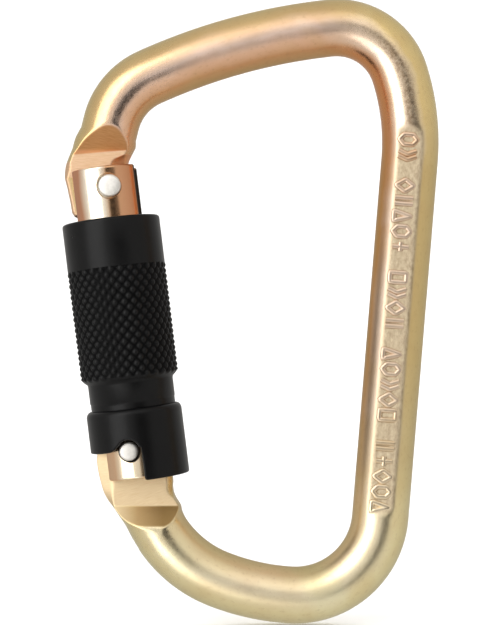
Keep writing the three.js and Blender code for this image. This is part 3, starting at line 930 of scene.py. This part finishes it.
# ---------------------------------------------------------------- materials
class Nodes:
    """A material's node tree with short ways to add and join nodes."""

    def __init__(self, name):
        self.material = bpy.data.materials.new(name)
        self.material.use_nodes = True
        self.tree = self.material.node_tree
        self.shader = self.tree.nodes["Principled BSDF"]

    def add(self, kind, inputs=None, **settings):
        node = self.tree.nodes.new(kind)
        for key, value in settings.items():
            setattr(node, key, value)
        for key, value in (inputs or {}).items():
            self.feed(node.inputs[key], value)
        return node

    def feed(self, socket, value):
        """Links an output to a socket, or sets its value. Text is a colour."""
        if isinstance(value, bpy.types.NodeSocket):
            self.tree.links.new(value, socket)
        else:
            socket.default_value = rgba(value) if isinstance(value, str) else value

    def set(self, **values):
        for key, value in values.items():
            self.feed(self.shader.inputs[key.replace("_", " ")], value)

    def place(self):
        return self.add("ShaderNodeTexCoord").outputs["Object"]

    def axis(self, name):
        """One coordinate of the place in the row frame, in metres."""
        return self.add("ShaderNodeSeparateXYZ", {"Vector": self.place()}).outputs[name]

    def noise(self, scale, detail=2.0, roughness=0.5, vector=None, distortion=0.0):
        inputs = {"Scale": scale, "Detail": detail, "Roughness": roughness, "Distortion": distortion}
        inputs["Vector"] = vector if vector is not None else self.place()
        return self.add("ShaderNodeTexNoise", inputs).outputs["Fac"]

    def along(self, length, width):
        """The bar's unrolled surface, stretched: one unit of noise every length by width millimetres."""
        uv = self.add("ShaderNodeUVMap", uv_map="Along").outputs["UV"]
        scale = (1 / length, 1 / width, 1)
        return self.add("ShaderNodeMapping", {"Vector": uv, "Scale": scale}).outputs["Vector"]

    def ramp(self, fac, *stops):
        node = self.add("ShaderNodeValToRGB", {"Fac": fac})
        elements = node.color_ramp.elements
        while len(elements) < len(stops):
            elements.new(0.5)
        for element, (at, colour) in zip(elements, stops):
            element.position = at
            element.color = rgba(colour)
        return node.outputs["Color"]

    def span(self, value, low, high, to_low=0.0, to_high=1.0):
        inputs = {"Value": value, "From Min": low, "From Max": high, "To Min": to_low, "To Max": to_high}
        return self.add("ShaderNodeMapRange", inputs).outputs["Result"]

    def mix(self, fac, a, b):
        node = self.add("ShaderNodeMix", data_type="RGBA")
        for socket, value in zip((node.inputs[0], node.inputs[6], node.inputs[7]), (fac, a, b)):
            self.feed(socket, value)
        return node.outputs[2]

    def value_mix(self, fac, a, b):
        return self.add("ShaderNodeMix", {0: fac, 2: a, 3: b}).outputs[0]

    def math(self, operation, a, b=0.0):
        return self.add("ShaderNodeMath", {0: a, 1: b}, operation=operation).outputs[0]

    def product(self, first, *others):
        for other in others:
            first = self.math("MULTIPLY", first, other)
        return first

    def attribute(self, name):
        return self.add("ShaderNodeAttribute", attribute_name=name).outputs["Fac"]

    def bump(self, height, distance, strength):
        inputs = {"Height": height, "Distance": distance, "Strength": strength}
        return self.add("ShaderNodeBump", inputs).outputs["Normal"]


def rgba(text):
    """A colour written as it looks on screen, in the linear values that shaders take."""
    shown = [int(text[i : i + 2], 16) / 255 for i in (0, 2, 4)]
    linear = [v / 12.92 if v <= 0.04045 else ((v + 0.055) / 1.055) ** 2.4 for v in shown]
    return (*linear, 1.0)


# Where the bar's finish changes, in metres of the row frame, from the side without it to the side with it.
SPINE_X = (-0.004, 0.007)
PALE_Z = (-0.05, -0.1)  # the lower part of the bar
ROSY_X, ROSY_Z = (-0.004, 0.004), (-0.03, -0.012)  # inside the top right bend
DARK_BAND_X, DARK_BAND_Z = (0.004, 0.01), (-0.0165, -0.0135)  # where the painted dark band lies, in front of the top right bend
HINGE_Z = (-0.06, -0.07)
HEEL_X = (-0.0425, -0.0315)  # across the half moon over the tang, where its painted shading runs from light to dark
NOSE_SIDE_Z = (-0.0184, -0.019)  # the slope beside the blade, under the nose's half moon
DULL_X = (-0.034, -0.026)
TOP_BEND_Z, LOWER_BEND_Z, BENDS_X = (-0.024, -0.01), (-0.08, -0.087), (-0.006, 0.004)
# where the painted shade on the spine fades out towards the lower bend
SHADE_Z = (-0.09, -0.078)


def round_the_bar(n, drift):
    """0 on the outside of the bends, 0.5 at the front and back, 1 on the inside, with a ragged limit."""
    uv = n.add("ShaderNodeUVMap", uv_map="Along").outputs["UV"]
    side = n.add("ShaderNodeSeparateXYZ", {"Vector": uv}).outputs["Y"]
    share = n.math("MULTIPLY", side, 1 / (math.pi * BAR_R))
    return n.math("ADD", share, n.span(drift, 0.3, 0.7, -0.07, 0.07))


def plating_and_painted_light(n):
    """Yellow passivation: olive gold outside the bend, peach in front, copper inside, paler low down. Partly
    painted light: the pale stops in front are paler where the highlights fall, so that they read white, the
    crown's stops at 0.3 and 0.42 are kept darker to dim the top bar's highlight, and the painted dark band of
    the top right bend is mixed in.
    """
    drift = n.noise(42.0, 3.0, 0.55, distortion=0.6)
    low = n.math("ADD", n.span(n.axis("Z"), *PALE_Z, 0.0, 0.85), n.span(drift, 0.35, 0.65, -0.2, 0.2))
    side = round_the_bar(n, drift)
    # painted highlight: the pale stops in front, where the highlights fall
    crown = ((0.0, "d9c98f"), (0.3, "dcbc88"), (0.42, "e8c4a0"), (0.52, "f8dccb"), (0.64, "eec2a2"))
    crown += ((0.78, "dba87a"), (0.95, "c49c62"))
    back = ((0.0, "e4d196"), (0.36, "e9cd90"), (0.46, "eed8b8"), (0.68, "f7e0cc"), (0.84, "d89e5c"))
    back += ((0.97, "c69c50"),)
    base = ((0.0, "dcd4a8"), (0.3, "eee2b2"), (0.5, "f8eec8"), (0.75, "f0e0b2"), (0.95, "d0be88"))
    spine = n.span(n.axis("X"), *SPINE_X)
    tint = n.mix(low, n.mix(spine, n.ramp(side, *crown), n.ramp(side, *back)), n.ramp(side, *base))
    # painted reflection: the dark band down the top right bend
    tint = n.mix(painted_dark_band_share(n, side), tint, "86694a")
    tint = n.mix(rosy_share(n, side), tint, "d8875a")
    return n.mix(n.span(n.noise(240.0, 4.0, 0.6), 0.4, 0.75, 0.0, 0.16), tint, "c49a66")


def painted_dark_band_share(n, side):
    """Painted reflection: the speckled dark band down the front of the top right bend, standing for the dark
    line that a polished bar shows beside its highlight.
    """
    band = n.product(n.span(side, 0.41, 0.47), n.span(side, 0.54, 0.6, 1.0, 0.0))
    bend = n.product(n.span(n.axis("X"), *DARK_BAND_X), n.span(n.axis("Z"), *DARK_BAND_Z))
    return n.product(band, bend, n.span(n.noise(1300.0, 2.0, 0.6), 0.4, 0.6, 0.25, 0.65))


def rosy_share(n, side):
    """The redder copper inside the top right bend."""
    across, down = n.span(n.axis("X"), *ROSY_X), n.span(n.axis("Z"), *ROSY_Z)
    return n.product(n.span(side, 0.7, 0.8, 0.0, 0.6), across, down)


def dull_share(n):
    """The long runs of the bar, which are duller than its nose, its heel and the two right-hand bends."""
    high, low = n.span(n.axis("Z"), *TOP_BEND_Z), n.span(n.axis("Z"), *LOWER_BEND_Z, 0.0, 0.5)
    bends = n.product(n.span(n.axis("X"), *BENDS_X), n.math("MAXIMUM", high, low))
    return n.product(n.span(n.axis("X"), *DULL_X), n.span(bends, 0.0, 1.0, 1.0, 0.0))


def pressed_tints(n, brushed):
    """The colours of the press's flats and of its slopes, which differ between the nose and the hinge. The
    slopes' colours are painted shade: darker copper at the nose, and light to dark across the hinge's half
    moon; the nose's slope turns lighter copper below its half moon.
    """
    at_hinge = n.span(n.axis("Z"), *HINGE_Z)
    nose_flat = n.ramp(brushed, (0.3, "d2aa86"), (0.5, "dfbd9a"), (0.72, "eacaac"))
    flat = n.mix(at_hinge, nose_flat, n.ramp(brushed, (0.3, "e0c59b"), (0.7, "eed9b5")))
    nose_slope = n.ramp(brushed, (0.3, "b37f50"), (0.7, "cc9a68"))
    nose_slope = n.mix(n.span(n.axis("Z"), *NOSE_SIDE_Z, 0.0, 0.9), nose_slope, "e0a274")
    across_heel = n.span(n.axis("X"), *HEEL_X)
    # painted shade: light on the left of the half moon, dark on its right
    heel = n.ramp(across_heel, (0.0, "e2cda4"), (0.35, "ba9d70"), (0.8, "967a4e"))
    return flat, n.mix(at_hinge, nose_slope, heel)


def plated_bar():
    """The bar's finish, with brushed flats and shoulder faces where the press left them, the shoulders
    darkened as painted shade, and painted shade along the spine.
    """
    n = Nodes("plated_bar")
    mottle = n.noise(1.0, 4.0, 0.65, n.along(1.1, 0.7))
    brushed = n.noise(1.0, 3.0, 0.6, n.along(0.14, 2.2))
    dull = dull_share(n)
    body = n.mix(n.span(mottle, 0.55, 0.8, 0.0, 0.3), plating_and_painted_light(n), "a07c58")
    # painted shade: darkens the spine between its two bends, which dims its highlight
    shade = n.product(n.span(n.axis("X"), *BENDS_X, 0.0, 0.24), dull, n.span(n.axis("Z"), *SHADE_Z))
    body = n.mix(shade, body, "a08458")
    flat, slope, panel = n.attribute("flat"), n.attribute("slope"), n.attribute("panel")
    flat_tint, painted_slope_shade = pressed_tints(n, brushed)
    panel_tint = n.ramp(mottle, (0.3, "bba68a"), (0.5, "d0bea0"), (0.75, "e6d8bc"))
    colour = n.mix(panel, n.mix(slope, n.mix(flat, body, flat_tint), painted_slope_shade), panel_tint)
    rough = n.math("ADD", n.span(mottle, 0.3, 0.7, 0.21, 0.31), n.product(dull, 0.13))
    rough = n.value_mix(flat, rough, n.span(brushed, 0.3, 0.7, 0.45, 0.6))
    rough = n.value_mix(slope, rough, n.span(brushed, 0.3, 0.7, 0.38, 0.5))
    rough = n.value_mix(panel, rough, n.span(mottle, 0.3, 0.7, 0.45, 0.6))
    grain, pit = n.noise(1.0, 3.0, 0.6, n.along(3.0, 0.22)), n.noise(1500.0, 2.0, 0.6)
    drawn = n.math("ADD", n.product(grain, 0.35), n.product(pit, 0.5))
    relief = n.value_mix(n.math("MAXIMUM", flat, slope), drawn, brushed)
    n.set(Base_Color=colour, Metallic=1.0, Roughness=rough, Normal=n.bump(relief, 0.00004, 0.5))
    return n.material


def plated_gate():
    """Copper on its sides and silver-gold in front, as painted highlight where the lamp's highlight falls so
    that it reads white, and paler round the hinge as painted light.
    """
    n = Nodes("plated_gate")
    drift, fine = n.noise(60.0, 2.0, 0.5), n.noise(900.0, 3.0, 0.6)
    across = n.math("ADD", n.attribute("across"), n.span(drift, 0.3, 0.7, -0.05, 0.05))
    sides = n.ramp(across, (0.1, "dcae84"), (0.5, "d29c76"), (0.85, "cb8a60"))
    sides = n.mix(n.span(across, -0.35, -0.7), sides, "c99272")
    # painted highlight: the pale band down the front of the gate, where the highlight falls
    front = n.product(n.span(across, -0.68, -0.5), n.span(across, 0.12, -0.04))
    colour = n.mix(front, sides, "f3e6d2")
    # painted light: paler round the hinge, so that the lower cheek and its highlight read brighter
    colour = n.mix(n.span(n.axis("Z"), -0.04, -0.05, 0.0, 0.45), colour, "eed6ae")
    colour = n.mix(n.span(fine, 0.55, 0.8, 0.0, 0.12), colour, "b88a60")
    rough, relief = n.span(fine, 0.3, 0.7, 0.16, 0.22), n.noise(1600.0, 2.0, 0.6)
    n.set(Base_Color=colour, Metallic=1.0, Roughness=rough, Normal=n.bump(relief, 0.00001, 0.2))
    return n.material


def worn_metal(name, scale, detail, stops, metallic, rough, relief):
    """A metal with one fine noise for its colour, its roughness and its relief."""
    n = Nodes(name)
    wear = n.noise(scale, detail, 0.6)
    rough = n.span(wear, 0.3, 0.7, *rough)
    n.set(Base_Color=n.ramp(wear, *stops), Metallic=metallic, Roughness=rough, Normal=n.bump(wear, *relief))
    return n.material


def painted_recess_shade():
    """Painted shade for the slot walls, the hinge rivet's seat ring and the strip down each slot's inner
    side: a dark brown that stands for the shade in these recesses.
    """
    stops = ((0.3, "1d1712"), (0.6, "33281c"), (0.8, "4a3a28"))
    return worn_metal("painted_recess_shade", 500.0, 4.0, stops, 0.6, (0.45, 0.65), (0.00003, 0.5))


def rivet_steel():
    stops = ((0.3, "e4e1da"), (0.55, "efece6"), (0.75, "f6f4ee"))
    return worn_metal("rivet_steel", 1400.0, 3.0, stops, 1.0, (0.46, 0.58), (0.00001, 0.4))


def spring_steel():
    stops = ((0.3, "7d7c79"), (0.7, "b1afaa"))
    return worn_metal("spring_steel", 1800.0, 3.0, stops, 1.0, (0.22, 0.38), (0.00001, 0.5))


def black_sleeve(name, has_knurl):
    """Satin black anodising, greyer where fingers have rubbed it, and matt in the knurl's grooves."""
    n = Nodes(name)
    cloud, speck = n.noise(110.0, 3.0, 0.55), n.noise(2200.0, 3.0, 0.6)
    colour, gloss = n.ramp(cloud, (0.3, "080808"), (0.7, "0d0d0e")), 0.18
    if has_knurl:
        crest = n.attribute("crest")
        rubbed = n.product(n.span(crest, 0.75, 1.0, 0.0, 0.3), n.span(cloud, 0.4, 0.7, 0.2, 1.0))
        colour = n.mix(rubbed, colour, "171718")
        gloss = n.span(crest, 0.1, SMOOTH_CREST, 0.035, 0.18)
    colour = n.mix(n.span(speck, 0.6, 0.8, 0.0, 0.25), colour, "151516")
    rough, relief = n.span(cloud, 0.3, 0.7, 0.27, 0.37), n.bump(speck, 0.00003, 0.35)
    n.set(Base_Color=colour, Roughness=rough, Specular_IOR_Level=gloss, Normal=relief)
    return n.material


# ---------------------------------------------------------------- stage
FOCAL_PX = 1660.0
IMAGE_LONG = 625.0
CAMERA_BACK = 0.3237
CAMERA_FOOT = (-0.0170, -0.0544)  # where the view axis meets the object's mid plane
CENTRE_ABOVE_FOOT_PX = 22.5


def camera():
    data = bpy.data.cameras.new("camera")
    data.sensor_width = 36.0
    data.lens = 36.0 * FOCAL_PX / IMAGE_LONG
    data.shift_y = CENTRE_ABOVE_FOOT_PX / IMAGE_LONG
    data.clip_start, data.clip_end = 0.01, 20.0
    made = new_object("camera", data)
    made.location = (CAMERA_FOOT[0], -CAMERA_BACK, CAMERA_FOOT[1])
    made.rotation_euler = (math.pi / 2, 0, 0)
    bpy.context.scene.camera = made


def softbox(name, azimuth, elevation, distance, width, height, power):
    """An area light aimed at the object's middle. Azimuth 0 is the camera's side, positive to the right."""
    lo, hi = CAD_BOX
    middle = (lo + hi) / 2
    a, e = math.radians(azimuth), math.radians(elevation)
    way = Vector((math.sin(a) * math.cos(e), -math.cos(a) * math.cos(e), math.sin(e)))
    data = bpy.data.lights.new(name, "AREA")
    data.shape = "RECTANGLE"
    data.size, data.size_y = width, height
    data.energy = power
    made = new_object(name, data)
    made.location = middle + way * distance
    made.rotation_euler = way.to_track_quat("Z", "Y").to_euler()
    return made


def paper(name, scale, stops, **settings):
    """A plain matt material with a faint drift in its tone."""
    n = Nodes(name)
    n.set(Base_Color=n.ramp(n.noise(scale), *stops), **settings)
    return n.material


def flag():
    """A black card behind the camera: the dark line that polished bars show beside their highlight."""
    wide, tall, back, right, low = 0.56, 0.62, 0.9, 0.32, -0.13
    corners = [(-0.5, -0.5), (0.5, -0.5), (0.5, 0.5), (-0.5, 0.5)]
    points = [(right + x * wide, -back, low + z * tall) for x, z in corners]
    made = new_object("flag", new_mesh("flag", (points, [(0, 1, 2, 3)])))
    stops = ((0.3, "0d0d0d"), (0.7, "161616"))
    made.data.materials.append(paper("flag_cloth", 30.0, stops, Roughness=1.0, Specular_IOR_Level=0.0))
    made.visible_camera = False
    made.visible_diffuse = False
    made.visible_shadow = False


def lights():
    softbox("key", -39, 12, 0.7, 0.5, 0.9, 3.0)
    softbox("overhead", -5, 40, 0.8, 0.9, 0.55, 0.58)
    softbox("bounce", -24, -30, 0.7, 0.4, 0.25, 0.35)
    softbox("backdrop", 180, 50, 1.3, 2.0, 1.0, 18.0).visible_glossy = False
    bpy.context.scene.world = studio_world()


def studio_world():
    """Even pale light, a little dimmer behind the object than in front of it."""
    world = bpy.data.worlds.new("studio")
    world.use_nodes = True
    tree = world.node_tree
    place = tree.nodes.new("ShaderNodeTexCoord")
    split = tree.nodes.new("ShaderNodeSeparateXYZ")
    ramp = tree.nodes.new("ShaderNodeMapRange")
    for key, value in (("From Min", -0.6), ("From Max", 0.6), ("To Min", 0.8), ("To Max", 0.62)):
        ramp.inputs[key].default_value = value
    tree.links.new(place.outputs["Generated"], split.inputs["Vector"])
    tree.links.new(split.outputs["Y"], ramp.inputs["Value"])
    background = tree.nodes["Background"]
    background.inputs["Color"].default_value = (1.0, 0.98, 0.95, 1)
    tree.links.new(ramp.outputs["Result"], background.inputs["Strength"])
    return world


def floor():
    """A plain pale floor that sweeps up behind the object."""
    lo, _ = CAD_BOX
    front, behind, wide, rise, bend = -1.6, 0.6, 3.0, 2.0, 0.5
    turns = np.linspace(0, math.pi / 2, 24)[1:]
    profile = [(front, 0.0), (behind, 0.0)]
    profile += [(behind + bend * math.sin(a), bend * (1 - math.cos(a))) for a in turns]
    profile.append((behind + bend, rise))
    points = [(x, y, lo.z - 0.0005 + z) for y, z in profile for x in (-wide, wide)]
    faces = [(2 * i, 2 * i + 1, 2 * i + 3, 2 * i + 2) for i in range(len(profile) - 1)]
    made = new_object("floor", new_mesh("floor", (points, faces)))
    made.data.polygons.foreach_set("use_smooth", [True] * len(faces))
    made.data.materials.append(paper("floor_paper", 6.0, ((0.3, "efefef"), (0.7, "f3f3f3")), Roughness=0.9))
    made.visible_glossy = False


def main():
    bar, gate, rivet, spring = plated_bar(), plated_gate(), rivet_steel(), spring_steel()
    frame_bar(bar)
    spine_marks(bar)
    gate_bar(gate, painted_recess_shade())
    hinge_rivet(rivet)
    latch_pin(rivet)
    plunger(rivet)
    stop_collar(rivet)
    sleeve_spring(spring)
    gate_spring(spring)
    grip_sleeve(black_sleeve("black_grip", True))
    lock_collar(black_sleeve("black_collar", False))
    floor()
    flag()
    lights()
    camera()
    bpy.context.scene.view_settings.view_transform = "Standard"


main()
